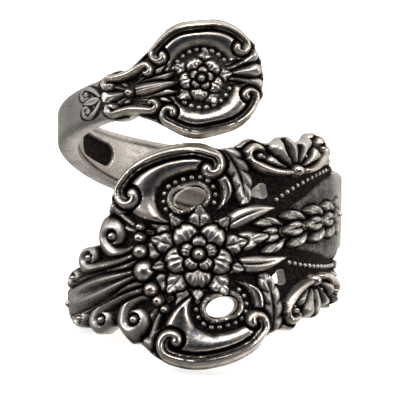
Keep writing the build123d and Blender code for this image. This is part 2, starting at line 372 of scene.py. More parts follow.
def smooth_curve(rows):
    """A function that runs smoothly through these (place, value) rows and doesn't overshoot."""
    x, y = (np.array(column, float) for column in zip(*rows))
    step = np.diff(x)
    slope = np.diff(y) / step
    tangent = np.zeros(len(x))
    before, after = slope[:-1], slope[1:]
    turns = before * after <= 0
    near, far = 2 * step[1:] + step[:-1], step[1:] + 2 * step[:-1]
    mean = (near + far) / (near / np.where(turns, 1.0, before) + far / np.where(turns, 1.0, after))
    tangent[1:-1] = np.where(turns, 0.0, mean)
    tangent[0], tangent[-1] = slope[0], slope[-1]

    def value(place):
        place = np.clip(place, x[0], x[-1])
        k = np.clip(np.searchsorted(x, place, side="right") - 1, 0, len(step) - 1)
        t = (place - x[k]) / step[k]
        rise = y[k + 1] - y[k]
        start, end = tangent[k] * step[k], tangent[k + 1] * step[k]
        return y[k] + t * (start + t * (3 * rise - 2 * start - end + t * (start + end - 2 * rise)))

    return value


outline_curve = smooth_curve(outline_rows)


def half_width(u):
    """Half the handle's width at each place along it, with the outline's corners worn round."""
    u = np.asarray(u, float)
    reach = np.minimum(OUTLINE_WEAR, np.minimum(u, handle_length - u).clip(0.0))
    near = u[..., None] + reach[..., None] * np.linspace(-1.0, 1.0, 9)
    return outline_curve(near).mean(axis=-1)


def centre_line():
    """The centre line unrolled: at each u, how far it has gone round, its height and its lead."""
    u = np.linspace(0.0, handle_length, 400)
    lead = mean_lead * np.interp(u / handle_length, *zip(*LEAD))
    step = u[1] - u[0]
    around = np.concatenate([[0.0], np.cumsum(step * np.cos(lead[:-1]))])
    height = -np.concatenate([[0.0], np.cumsum(step * np.sin(lead[:-1]))])
    return u, around, height, lead


CENTRE_LINE = centre_line()


def wound(u, v, radius):
    """The place in the ring's own axes, in millimetres, of a place on the flat handle."""
    around, height, lead = (np.interp(u, CENTRE_LINE[0], row) for row in CENTRE_LINE[1:])
    turn = (around + v * np.sin(lead)) / neutral_radius - math.radians(ROUND_END_TURN)
    return np.stack(
        [-radius * np.sin(turn), -radius * np.cos(turn), height + v * np.cos(lead)], axis=-1
    )


def ring_axes():
    """The ring's own axes in the frame, and its origin in metres, from the finger hole."""
    along = np.array(finger_hole["axis"], float)
    along /= np.linalg.norm(along)
    back = np.array([0.0, along[2], -along[1]])
    back /= np.linalg.norm(back)
    right = np.cross(back, along)
    u = np.linspace(0.0, handle_length, 600)
    edges = [wound(u, side * outline_curve(u), BORE_RADIUS)[:, 2] for side in (-1, 1)]
    middle = (np.min(edges) + np.max(edges)) / 2
    origin = np.array(finger_hole["pos_m"]) - along * middle * MM
    return np.array([right, back, along]), origin


RING_AXES, RING_ORIGIN = ring_axes()


def in_frame(places):
    """Places in the ring's own axes, in millimetres, as places in the frame, in metres."""
    return RING_ORIGIN + places * MM @ RING_AXES


# How far round from the handle's start the sunk plate's middle lies, and its place along it
plate_around = math.radians(PLATE_TURN + ROUND_END_TURN) * neutral_radius
plate_u = float(np.interp(plate_around, CENTRE_LINE[1], CENTRE_LINE[0]))
plate_straight = (PLATE_LENGTH - PLATE_HEIGHT) / 2


def outline_distance(u, v):
    """How far each place on the flat handle lies inside its outline."""
    fine = np.linspace(0.0, handle_length, 2600)
    half = half_width(fine)
    result = np.empty(np.shape(u))
    reach = 2.2
    for row in range(u.shape[0]):
        near = np.abs(fine - u[row, 0]) < reach
        gap = np.hypot(u[row][:, None] - fine[near], np.abs(v[row])[:, None] - half[near])
        result[row] = np.minimum(gap.min(axis=1), reach)
    for end in (0.0, handle_length):
        beyond = np.maximum(np.abs(v) - half_width(end), 0.0)
        result = np.minimum(result, np.hypot(u - end, beyond))
    return result


def smooth_step(low, high, value):
    """0 below low, 1 above high, and a smooth rise between them."""
    share = np.clip((value - low) / (high - low), 0.0, 1.0)
    return share * share * (3 - 2 * share)


# Lines on the flat handle


def bezier(start, pull, end):
    """Places along a bow from start to end that leans towards pull."""
    t = np.linspace(0.0, 1.0, BOW_PLACES)[:, None]
    start, pull, end = (np.array(p, float) for p in (start, pull, end))
    return (1 - t) ** 2 * start + 2 * t * (1 - t) * pull + t * t * end


def lengths_along(line):
    """How far along the line each of its places lies."""
    return np.concatenate([[0.0], np.cumsum(np.linalg.norm(np.diff(line, axis=0), axis=1))])


def follow(u, v, line):
    """How far along the line, 0 to 1, each place's nearest point is, and the distance to it, which
    is below zero on the line's right side."""
    lengths = lengths_along(line)
    best = np.full(np.shape(u), 1e9)
    where = np.zeros(np.shape(u))
    side = np.ones(np.shape(u))
    for k in range(len(line) - 1):
        a, b = line[k], line[k + 1]
        run = b - a
        length = float(np.hypot(*run))
        if length == 0.0:
            continue
        along = ((u - a[0]) * run[0] + (v - a[1]) * run[1]) / length
        t = np.clip(along / length, 0.0, 1.0)
        du, dv = u - (a[0] + t * run[0]), v - (a[1] + t * run[1])
        gap = np.hypot(du, dv)
        closer = gap < best
        best = np.where(closer, gap, best)
        where = np.where(closer, (lengths[k] + t * length) / lengths[-1], where)
        side = np.where(closer, np.sign(run[0] * dv - run[1] * du), side)
    return where, best * np.where(side == 0, 1.0, side)


def evenly(line, pitch):
    """Places along a line, one pitch from each other."""
    lengths = lengths_along(line)
    count = max(int(round(lengths[-1] / pitch)), 1)
    where = np.linspace(0.0, lengths[-1], count + 1)
    return np.stack([np.interp(where, lengths, line[:, k]) for k in (0, 1)], axis=-1)


def round_bar(reach, start, end, count=60, middle=(window_u, window_v), bar=WINDOW_BAR):
    """The line at this distance from a window's middle bar, or from another bar along u, between
    two headings in degrees."""
    turn = np.radians(np.linspace(start, end, count))
    u = middle[0] + bar * np.clip(np.cos(turn) * 3.0, -1.0, 1.0) + reach * np.cos(turn)
    return np.stack([u, middle[1] + reach * np.sin(turn)], axis=-1)


def edge_line(start, end, inset, smoothing, count=80):
    """The line this far inside the outline, between two places along the handle."""
    u = np.linspace(start, end, count)
    near = np.linspace(-smoothing, smoothing, 9)
    half = half_width(u[:, None] + near).mean(axis=1)
    slope = np.gradient(half, u)
    tilt = np.hypot(1.0, slope)
    return np.stack([u + inset * slope / tilt, half - inset / tilt], axis=-1)


def curl(line, side, radius, turns, eye=0.2):
    """The line with a curl of this many degrees at its end, which tightens from one radius to the
    other and turns to its left where side is 1."""
    run = line[-1] - line[-2]
    heading = math.degrees(math.atan2(run[1], run[0]))
    middle = line[-1] + side * radius * np.array([-run[1], run[0]]) / np.linalg.norm(run)
    t = np.linspace(0.0, 1.0, CURL_PLACES)[:, None]
    angle = np.radians(heading - side * 90.0 + side * turns * t)
    reach = radius + (eye - radius) * t
    return np.vstack([line, middle + reach * np.hstack([np.cos(angle), np.sin(angle)])])


def curled(line, side, first, last):
    """The line with a curl at both ends. first and last are a radius and an angle."""
    line = curl(line, side, *last)
    return curl(line[::-1], -side, *first)[::-1]


def ray(root, heading, near, far, bow=0.0):
    """The line from near to far at this heading from a root, bowed to its left."""
    turn = math.radians(heading)
    way = np.array([math.cos(turn), math.sin(turn)])
    left = np.array([-way[1], way[0]])
    return bezier(root + near * way, root + (near + far) / 2 * way + bow * left, root + far * way)


# Carving


def round_over(share, fullness=0.5):
    """A rounded bar's section: 1 in its middle and 0 from its edge on."""
    return np.clip(1.0 - share * share, 0.0, None) ** fullness


class Carving:
    """The carved surface of one stretch of the handle, as heights above the ground."""

    def __init__(self, u, v, sizes):
        self.u, self.v = u, v
        self.relief = sizes.relief_height / MM
        self.rim = sizes.rim_width / MM
        self.height = np.zeros(np.shape(u))
        self.polish = np.zeros(np.shape(u))
        # How strongly a painted dark reflection covers each place
        self.painted_reflection = np.zeros(np.shape(u))

    def near(self, line, reach):
        """The places that a tool of this reach along a line touches."""
        line = np.atleast_2d(line)
        reach += GROOVE_WIDTH
        low, high = line.min(axis=0) - reach, line.max(axis=0) + reach
        return (self.u > low[0]) & (self.u < high[0]) & (self.v > low[1]) & (self.v < high[1])

    def along(self, line, width):
        """The places that a tool of this width along a line touches, and how each follows it."""
        mask = self.near(line, width / 2)
        return mask, *follow(self.u[mask], self.v[mask], line)

    def lay(self, mask, share, half, body, height, polish, painted_reflection=0.0):
        """Lays a form over what is under it, parted from it by a groove. share is 1 along its edge,
        which lies half a width from its middle. The last argument is how much of it a painted dark
        reflection covers."""
        beyond = np.clip((share - 1.0) * half / GROOVE_WIDTH, 0.0, 1.0)
        under = self.height[mask] * (GROOVE_FLOOR + (1.0 - GROOVE_FLOOR) * beyond)
        level = self.relief * height * body
        on_top = (share < 1.0) & (level > under)
        self.height[mask] = np.where(on_top, level, under)
        self.polish[mask] = np.where(on_top, polish, self.polish[mask])
        self.painted_reflection[mask] = np.where(on_top, painted_reflection, self.painted_reflection[mask])

    def rib(self, line, widths, height, polish, cut=None):
        """A rounded rib with these widths at its start, middle and end. cut is the share of its
        half width at which a fine line is cut along it, on its left where above 0."""
        mask, where, gap = self.along(line, max(widths))
        half = np.interp(where, (0.0, 0.5, 1.0), widths) / 2
        share = np.abs(gap) / half
        body = round_over(share)
        if cut is not None:
            ends = smooth_step(0.0, 0.12, where) * (1.0 - smooth_step(0.88, 1.0, where))
            body = body * (1.0 - 0.3 * ends * np.exp(-((gap - cut * half) / CUT_WIDTH) ** 2))
        self.lay(mask, share, half, body, height, polish)

    def knob(self, middle, diameter, height, polish=0.9):
        """A round knob."""
        half = diameter / 2
        mask = self.near(middle, half)
        share = np.hypot(self.u[mask] - middle[0], self.v[mask] - middle[1]) / half
        self.lay(mask, share, half, round_over(share), height, polish)

    def scroll(self, line, widths, eyes=(0.0, 0.0), height=1.0, cut=None):
        """A rib with a round eye of this width at either end."""
        self.rib(line, widths, height, 0.8, cut)
        for end, eye in zip((line[0], line[-1]), eyes):
            if eye > 0.0:
                self.knob(end, eye, height * 1.05)

    def crescent(self, inner, outer, height):
        """A broad smooth swelling between two lines that run the same way, the outer one on the
        left. Its ridge lies nearer to the outer line, and a painted dark reflection covers its
        inner slope."""
        mask = self.near(np.vstack([inner, outer]), 0.0)
        _, near = follow(self.u[mask], self.v[mask], inner)
        _, far = follow(self.u[mask], self.v[mask], outer)
        width = np.abs(near) + np.abs(far)
        across = np.abs(near) / width
        inside = (near > 0) & (far < 0)
        from_ridge = across - SWELLING_RIDGE
        slope = np.abs(from_ridge) / np.where(from_ridge < 0, SWELLING_RIDGE, 1.0 - SWELLING_RIDGE)
        share = np.where(inside, slope, 1.0 + np.minimum(np.abs(near), np.abs(far)))
        body = round_over(share, 0.42) * (0.5 + 0.5 * smooth_step(0.0, 0.9, width))
        # Painted dark reflection over the inner slope
        painted_reflection = 1.0 - smooth_step(0.15, SWELLING_RIDGE + 0.1, across)
        self.lay(mask, share, 1.0, body, height, 1.0, painted_reflection)

    def leaf(self, line, width, height=1.0, lobes=4, ragged=0.28):
        """A leaf along a line from its stalk to its point, with lobes, a groove between each two
        and a hollow midrib."""
        mask, where, gap = self.along(line, width)
        swell = np.sin(np.pi * (0.08 + 0.88 * where) ** 0.8) ** 0.7
        across = np.abs(gap) / (width / 2 * swell)
        beat = np.abs(np.sin(np.pi * (lobes * where - 0.6 * across))) ** 0.35
        half = width / 2 * swell * (1.0 - ragged * (1.0 - beat))
        share = np.abs(gap) / half
        midrib = 0.5 * np.exp(-(gap / (0.04 * width + 0.03)) ** 2) * (1.0 - where)
        grooves = 0.5 * (1.0 - beat) * smooth_step(0.05, 0.5, across)
        curve = 0.8 + 0.2 * smooth_step(0.0, 0.7, across)
        body = round_over(share, 0.32) * (0.72 + 0.28 * where) * curve
        self.lay(mask, share, half, body * (1.0 - grooves) * (1.0 - midrib), height, 0.3)

    def blade(self, line, width, height=1.0):
        """A smooth pointed leaf with a groove along its middle."""
        mask, where, gap = self.along(line, width)
        half = width / 2 * np.sin(np.pi * (0.07 + 0.92 * where) ** 0.75) ** 0.85
        share = np.abs(gap) / half
        groove = 0.4 * np.exp(-(gap / (0.07 * width)) ** 2) * (1.0 - where)
        body = round_over(share, 0.4) * (0.75 + 0.25 * where) * (1.0 - groove)
        self.lay(mask, share, half, body, height, 0.6)

    def frond(self, line, width, height=1.0, folds=1, polish=0.35):
        """A smooth leaf that widens and rises to a rounded end, with folds that run along it."""
        mask, where, gap = self.along(line, width)
        half = width / 2 * (0.3 + 0.7 * smooth_step(0.0, 0.7, where))
        share = np.abs(gap) / half
        fold = 0.5 - 0.5 * np.cos(2 * np.pi * folds * (gap / half + 1.0) / 2)
        fade = 0.55 * (1.0 - smooth_step(0.6, 1.0, where))
        body = round_over(share, 0.4) * (0.62 + 0.38 * where) * (1.0 - fade * (1.0 - fold))
        self.lay(mask, share, half, body, height, polish)

    def petals(self, middle, diameter, turn, height, dish):
        """One ring of cupped, veined petals that touch each other."""
        reach = diameter / 2
        mask = self.near(middle, reach)
        du, dv = self.u[mask] - middle[0], self.v[mask] - middle[1]
        gap = np.hypot(du, dv) / reach
        angle = np.arctan2(dv, du) - math.radians(turn)
        beat = 0.5 + 0.5 * np.cos(PETALS * angle)
        edge = 0.7 + 0.3 * beat ** 0.5 - 0.05 * smooth_step(0.95, 1.0, beat)
        cup = (1.0 - dish) + dish * smooth_step(0.3, 0.85, gap)
        veins = 1.0 - 0.1 * (0.5 + 0.5 * np.cos(PETALS * 5 * angle)) * smooth_step(0.3, 0.6, gap)
        part = smooth_step(0.0, 0.1, beat + 0.06 * (1.0 - gap))
        body = round_over(gap / edge, 0.32) * cup * veins * (0.4 + 0.6 * part)
        self.lay(mask, gap / edge, reach, body, height, 0.85)

    def flower(self, middle, diameter, height):
        """An open flower: an outer and an inner ring of petals round a button."""
        self.petals(middle, diameter, 0.0, height, 0.45)
        self.petals(middle, diameter * 0.55, 180.0 / PETALS, height, 0.3)
        self.knob(middle, diameter * 0.2, height * 1.05)


def carve_edge(carving, start, end, height=0.6, smoothing=0.12, count=200):
    """The fine raised line along the outline, between two places along the handle."""
    line = edge_line(start, end, EDGE_LINE_INSET, smoothing, count)
    carving.rib(line, (EDGE_LINE_WIDTH,) * 3, height, 0.5)


def carve_round_end(carving):
    """One half of the round end: a scrolled rim round a swelling, and a flower on leaves."""
    middle = np.array((round_middle_u, 0.0))
    carve_edge(carving, 0.05, PLAIN_START - 0.4, 0.55, 0.15, 240)
    for side in (1.9, 1.15, 0.0):
        carving.frond(bezier((2.8, 0.35 * side), (1.5, 0.45 * side), (0.75, side)), 1.05, 0.95)
    carving.frond(bezier((6.6, 1.0), (8.0, 2.0), (9.3, 1.5)), 1.3, 0.9, 2)
    inner = round_bar(ROUND_FLOWER / 2 + 0.7, 30.0, 152.0, 90, middle, 0.0)[::-1]
    carving.crescent(inner, edge_line(1.2, 8.2, 0.8, 0.5), 1.05)
    for heading in (36.0, 108.0, 180.0):
        carving.leaf(ray(middle, heading, 0.8, 0.6 * ROUND_FLOWER), 1.4, 0.85, 3, 0.2)
    line = curled(edge_line(0.75, 8.2, 0.45, 0.5), -1, (0.62, 230.0), (0.66, 235.0))
    carving.scroll(line, (0.72, carving.rim, 0.74), cut=RIM_CUT)
    carve_neck(carving)
    carving.flower(middle, ROUND_FLOWER, 1.0)


def carve_neck(carving):
    """One half of the neck: leaves towards the flower, a fan towards the plain band, a bold scroll
    along the edge, and a sprig of curls beyond the fan."""
    tie = (neck_start + NECK_LENGTH * 0.27, 0.0)
    for heading, reach, width in ((156.0, 3.4, 0.95), (168.0, 3.7, 1.0), (180.0, 3.9, 1.1)):
        carving.blade(ray(tie, heading, 0.1, reach, 0.15), width, 0.95)
    for heading, reach in ((52.0, 1.3), (26.0, 1.7), (0.0, 1.8)):
        carving.frond(ray(tie, heading, 0.2, reach), 0.9, 0.95)
    carving.knob(tie, 0.8, 1.05)
    line = bezier((tie[0] - 1.5, 1.75), (tie[0], 1.2), (tie[0] + 1.5, 1.38))
    carving.scroll(curled(line, -1, (0.46, 225.0), (0.4, 235.0)), (0.5, 0.85, 0.5), height=1.1)
    sprig = PLAIN_START + 0.75
    line = bezier((sprig - 0.35, 0.2), (sprig + 0.4, 1.3), (sprig + 1.3, 1.0))
    carving.scroll(curl(line, -1, 0.4, 270.0), (0.22, 0.42, 0.3), (0.0, 0.44), 0.9)
    carving.blade(bezier((sprig - 0.2, 0.0), (sprig + 0.5, 0.0), (sprig + 1.4, 0.0)), 0.62, 0.9)


def carve_tip(carving):
    """One half of the tip: folded leaves that curl out to its lobes, tied by graded pearls."""
    root = tip_start - 2.2
    line = curl(bezier((root - 1.1, 2.6), (root + 0.2, 3.0), (root + 1.3, 4.7)), 1, 0.5, 170.0, 0.3)
    carving.frond(line, 1.5, 0.95, 2, 0.15)
    pull = (root + 4.0, 0.0)
    carving.frond(bezier((root, 0.0), pull, (handle_length - 1.1, 0.0)), 4.6, 0.85, 1, 0.1)
    for u, v, radius, width, root_v in (
        (0.8, 3.3, 0.72, 2.0, 2.2), (3.3, 2.15, 0.62, 1.9, 1.5), (5.3, 1.15, 0.48, 1.5, 0.9),
    ):
        end = (tip_start + u, v)
        line = bezier((root, root_v), (root + (end[0] - root) * 0.8, v * 0.3), end)
        line = curl(line, 1, radius, 230.0, radius * 0.45)
        carving.frond(line, width, 1.0, 1, 0.2)
        carving.knob(line[-1], radius * 1.1, 1.05, 0.7)
    carving.frond(bezier((root, 0.0), pull, (handle_length - 1.4, 0.0)), 2.2, 1.0, 2, 0.15)
    carving.knob((handle_length - 0.75, 0.0), 0.9, 1.0, 0.7)
    for v, diameter in ((3.25, 0.75), (2.5, 0.95), (1.5, 1.2), (0.0, 1.7)):
        carving.knob((root + 0.35 - v * v * 0.07, v), diameter, 1.1)


def carve_tongue(carving):
    """One half of the band's tongue, which sinks and darkens under a painted dark reflection, with
    husks down its middle.
    """
    half_start = TONGUE_WIDTH / 2
    mask = carving.near([[TONGUE_START, 0.0], [TONGUE_END, 0.0]], half_start)
    u, v = carving.u[mask], carving.v[mask]
    half = np.interp(u, (TONGUE_START, scroll_start + 2.0, TONGUE_END), (half_start, 3.0, 1.3))
    share = v / half
    body = 1.0 - 0.35 * smooth_step(TONGUE_START, TONGUE_START + TONGUE_SINK, u)
    body -= 0.25 * smooth_step(scroll_start - 0.4, scroll_start + 3.0, u)
    body *= round_over(share, 0.22) * (1.0 - smooth_step(TONGUE_END - 0.4, TONGUE_END, u))
    # Painted dark bluish reflection, growing towards the wide end
    painted_reflection = smooth_step(TONGUE_START + 2.0, scroll_start + 5.0, u)
    height = (BAND_THICKNESS - GROUND_THICKNESS) / carving.relief
    carving.lay(mask, share, half, body, height, 0.0, painted_reflection)
    for place in HUSK_PLACES[::-1]:
        u = scroll_start + SCROLL_LENGTH * place
        rise = 0.85 + 0.3 * min(max((place + 0.05) / 0.3, 0.0), 1.0)
        carving.leaf(bezier((u, 0.1), (u + 0.9, 1.1), (u + 2.1, 1.1)), 1.1, rise, 2, 0.15)
        middle = bezier((u, 0.0), (u + HUSK_LENGTH / 2, 0.0), (u + HUSK_LENGTH, 0.0))
        carving.leaf(middle, 1.2, rise, 2, 0.15)
        carving.knob((u + 0.1, 0.0), 0.75, rise)


def carve_scrolls(carving):
    """One half of the scroll section: the tongue, a palmette in a scroll beside it, and leaves."""
    start = scroll_start
    carve_edge(carving, start - 0.2, shell_start + 1.5)
    carving.blade(bezier((start + 0.2, 4.4), (start + 1.6, 5.0), (start + 3.2, 4.2)), 1.2, 0.9)
    carve_tongue(carving)
    root = np.array((start + 5.0, 4.25))
    for heading, reach in ((155, 2.2), (25, 2.2), (122, 2.5), (58, 2.5), (90, 2.45)):
        carving.frond(ray(root, heading, 0.3, reach), 1.5)
    for pull, end, side in (
        ((start + 3.1, 3.7), (start + 1.6, 5.2), -1), ((start + 7.0, 4.1), (start + 8.6, 5.7), 1),
    ):
        line = curl(bezier(root, pull, end), side, 0.72, 280.0, 0.25)
        carving.scroll(line, (0.4, carving.rim, 0.7), (0.0, 0.6), 1.1)
    carving.knob(root, 1.05, 1.15)
    start = shell_start
    line = bezier((start + 0.7, 7.3), (start - 0.5, 5.2), (start + 0.3, 2.3))
    carving.leaf(line, 1.9, 1.0, 5, 0.25)
    carving.blade(bezier((start + 2.0, 1.4), (start + 0.3, 2.2), (start - 2.0, 1.9)), 1.4)


def carve_wide_end(carving):
    """One half of the wide end: a swelling in a scrolled rim round the window, a flower on leaves
    beside it, the scroll section and the tip."""
    centre = np.array((shell_middle_u, 0.0))
    carve_scrolls(carving)
    carve_edge(carving, tip_start - 1.6, handle_length - 0.05)
    for heading, reach, bow in ((20.0, 4.3, 0.3), (52.0, 4.2, 0.5)):
        carving.leaf(ray(centre, heading, 1.0, reach, bow), 2.0, 0.8, 4, 0.25)
    carve_tip(carving)
    carving.leaf(bezier(centre, centre - (2.6, 0.0), centre - (5.2, 0.0)), 2.0)
    start, end = 236.0, -56.0
    carving.rib(round_bar(BEAD_CHANNEL, start, end), (1.3,) * 3, 0.05, 0.0)
    inner = round_bar(WINDOW_REACH + 1.12, start, end)
    lip = edge_line(shell_start + 1.2, shell_start + 8.8, 1.1, 0.4)
    outer = np.vstack([
        bezier(inner[0], (shell_start - 0.6, 3.6), lip[0]), lip,
        bezier(lip[-1], (shell_start + 9.8, 4.0), inner[-1]),
    ])
    carving.crescent(inner, outer, 1.05)
    carving.rib(round_bar(WINDOW_REACH + 0.22, 0.0, 360.0), (0.36,) * 3, 0.85, 0.8)
    line = edge_line(shell_start + 1.1, shell_start + 9.2, 0.6, 0.4)
    line = curled(line, -1, (0.95, 225.0), (1.1, 235.0))
    carving.scroll(line, (0.95, carving.rim * 1.3, 1.05), height=1.1, cut=RIM_CUT)
    for headings, near, far, width, height, lobes in (
        ((0.0, 72.0, 144.0), 1.5, 3.4, 1.5, 0.8, 2), ((36.0, 108.0, 180.0), 1.0, 3.5, 2.1, 0.92, 4),
    ):
        for heading in headings:
            carving.leaf(ray(centre, heading, near, far), width, height, lobes, 0.2)
    carving.flower(centre, WIDE_FLOWER, 1.05)


def bead_places(sizes):
    """Every bead's place on the flat handle."""
    half = np.vstack([
        evenly(line, sizes.bead_pitch / MM) for line in (
            round_bar(BEAD_CHANNEL, -38.0, 218.0, 120),
            round_bar(ROUND_FLOWER / 2 + 0.48, 150.0, 30.0, 90, (round_middle_u, 0.0), 0.0),
            edge_line(scroll_start + 3.3, scroll_start + 7.1, 1.25, 0.9),
            bezier((scroll_start + 0.3, 3.75), (scroll_start + 4.2, 3.55), (gap_u - 1.2, 2.45)),
        )
    ])
    return np.vstack([half, half[half[:, 1] > 0.15] * (1, -1)])


# The surface and its finish


def plainness(u, v):
    """1 on the plain band, 0 on the carved ends, and between them where they blend."""
    edge = PLAIN_START - 0.3 * np.minimum(np.abs(v) * 2 / NECK_WIDTH, 1.0)
    after = smooth_step(edge - PLAIN_BLEND, edge, u)
    return after * (1.0 - smooth_step(TONGUE_START, TONGUE_START + TONGUE_BLEND, u))


def softened(values, reach):
    """The values blurred along both ways of their grid by this many places."""
    span = 2 * reach + 1
    for _ in range(4):
        total = np.cumsum(np.pad(values, [(reach + 1, reach), (0, 0)], mode="edge"), axis=0)
        values = ((total[span:] - total[:-span]) / span).T
    return values


def painted_reflection_share(u, v):
    """How strong the painted dark bluish reflection lies: weak on the round end's upper swelling,
    and on the wide end strongest towards the band above and towards the tip below."""
    round_end = np.where(v > 0, *ROUND_END_PAINTED_REFLECTION)
    least, most = WIDE_END_PAINTED_REFLECTION
    lean = smooth_step(*PAINTED_REFLECTION_LEAN, (shell_middle_u - u) * np.sign(v))
    wide_end = least + (most - least) * lean
    return np.where(u < scroll_start / 2, round_end, np.where(u < shell_start, 1.0, wide_end))


def blackness(u, height, distance, plain):
    """How black each place is: the blackened ground and creases, and painted shade on whatever lies
    low among its neighbours, less what is worn off at the edges, on the round end and towards the
    tip."""
    round_end = u < scroll_start / 2
    ground = 1.0 - smooth_step(*GROUND_FADE, height)
    crease = smooth_step(*CREASE_RISE, softened(height, CREASE_REACH) - height)
    # Painted shade on places that lie low among their neighbours, coming in from the tongue on the
    # wide end
    low = LOW_SHADE * smooth_step(*LOW_RISE, softened(height, LOW_REACH) - height)
    darkening = smooth_step(TONGUE_START, TONGUE_START + TONGUE_DARKENING, u)
    low *= np.where(round_end, 1.0, darkening)
    black = np.maximum(np.maximum(ground, low) * (1.0 - plain), crease)
    tip_wear = TIP_WEAR * smooth_step(tip_start, handle_length - 1.0, u)
    worn = np.where(round_end, ROUND_END_WEAR, tip_wear)
    return black * smooth_step(*EDGE_WEAR, distance) * (1.0 - worn)


def outer_surface(places, columns, carve, sizes):
    """The places across, the thickness and the finish of the outer side, over a grid."""
    u = np.repeat(places[:, None], columns, axis=1)
    v = half_width(places)[:, None] * np.linspace(-1.0, 1.0, columns)
    distance = outline_distance(u, v)
    carving = Carving(u, np.abs(v), sizes)
    carve(carving)
    height = carving.height
    fall = 1.0 - np.minimum(distance / EDGE_ROUND, 1.0)
    rounding = 1.0 - np.sqrt(1.0 - fall * fall)
    crown = BAND_THICKNESS - (BAND_THICKNESS - EDGE_THICKNESS) * rounding
    rough = np.maximum(GROUND_THICKNESS + height * (1.0 - rounding * 0.6), EDGE_THICKNESS)
    plain = plainness(u, v)
    sprig = SPRIG_HEIGHT * np.minimum(height, 0.4) * (u < scroll_start / 2)
    thick = plain * (crown + sprig) + (1.0 - plain) * rough
    return v, thick, {
        # hollow holds the blackened ground and creases, and painted shade on low places
        "hollow": blackness(u, height, distance, plain),
        "polish": carving.polish * (1.0 - plain),
        # Painted dark bluish reflection
        "painted_reflection": carving.painted_reflection * painted_reflection_share(u, v),
    }


def spaced(*stretches, end):
    """Places along the handle. Each stretch is its start and the step between its places."""
    stops = [start for start, _ in stretches[1:]] + [end]
    runs = [
        np.linspace(start, stop, max(int(round((stop - start) / step)), 1), endpoint=False)
        for (start, step), stop in zip(stretches, stops)
    ]
    return np.concatenate(runs + [[end]])


def plate_share(u, v):
    """1 on the sunk plate's floor, 0 on the wall of the finger hole round it."""
    beyond = np.maximum(np.abs(u - plate_u) - plate_straight, 0.0)
    return smooth_step(-0.02, PLATE_SLOPE, PLATE_HEIGHT / 2 - np.hypot(beyond, v))


def shell_mesh(name, places, carve, sizes):
    """A closed stretch of the wound handle, as a mesh with its finish in named attributes."""
    columns, inner_columns = COLUMNS[name]
    v, thick, finish = outer_surface(places, columns, carve, sizes)
    half = half_width(places)[:, None]
    edge = np.minimum(INNER_ROUND, half * 0.5)
    corner = np.radians([15.0, 45.0, 75.0])
    corner_v = half - edge + edge * np.cos(corner)
    corner_r = edge - edge * np.sin(corner)
    inner_v = (half - edge) * np.linspace(1.0, -1.0, inner_columns)
    sunk = plate_share(places[:, None], inner_v)
    from_edge = half - edge - np.abs(inner_v)
    # Painted shade: a dark line a little inside each edge of the inner wall
    painted_edge_shade = np.exp(-((from_edge - EDGE_SHADE_INSET) / EDGE_SHADE_WIDTH) ** 2) * np.where(inner_v < 0, *EDGE_SHADE)
    # Each row runs over the outer side, round an edge, over the inner wall and round an edge.
    loop_v = np.hstack([v, corner_v, inner_v, -corner_v[:, ::-1]])
    outer_r = thick - FACE_CLEARANCE
    loop_r = np.hstack([outer_r, corner_r, sunk * PLATE_DEPTH, corner_r[:, ::-1]])
    bare, inner_bare = corner_v * 0.0, inner_v * 0.0
    # The inner wall's hollow holds the sunk plate's black fill and the painted shade along its
    # edges
    inner = {"hollow": np.maximum(sunk, painted_edge_shade)}
    values = {
        label: np.hstack([outer, bare, inner.get(label, inner_bare), bare])
        for label, outer in finish.items()
    }
    values["inside"] = np.hstack([v * 0.0, bare + 0.5, inner_bare + 1.0, bare + 0.5])
    rows, count = loop_v.shape
    loop_u = np.repeat(places[:, None], count, axis=1)
    corners = in_frame(wound(loop_u, loop_v, BORE_RADIUS + loop_r)).reshape(-1, 3)
    row, column = np.arange(rows - 1)[:, None] * count, np.arange(count)[None, :]
    here, ahead = row + column, row + (column + 1) % count
    quads = np.stack([here, here + count, ahead + count, ahead], axis=-1).reshape(-1, 4)
    caps = [list(range(count)), list(range((rows - 1) * count, rows * count))[::-1]]
    mesh = bpy.data.meshes.new(name)
    mesh.from_pydata(corners.tolist(), [], quads.tolist() + caps)
    for label, field in values.items():
        layer = mesh.attributes.new(label, "FLOAT", "POINT")
        layer.data.foreach_set("value", field.ravel().astype(np.float32))
    flat = np.stack([loop_u, loop_v + INNER_WALL_ASIDE * values["inside"]], axis=-1)
    index = np.empty(len(mesh.loops), np.int32)
    mesh.loops.foreach_get("vertex_index", index)
    flat = (flat.reshape(-1, 2) * UV_SCALE)[index].ravel().astype(np.float32)
    mesh.uv_layers.new(name="flat").data.foreach_set("uv", flat)
    mesh.validate()
    mesh.update()
    outward(mesh)
    return mesh


def outward(mesh):
    """Turns a closed mesh's faces so that they point outwards."""
    work = bmesh.new()
    work.from_mesh(mesh)
    bmesh.ops.recalc_face_normals(work, faces=work.faces)
    if work.calc_volume(signed=True) < 0:
        bmesh.ops.reverse_faces(work, faces=work.faces)
    work.to_mesh(mesh)
    work.free()


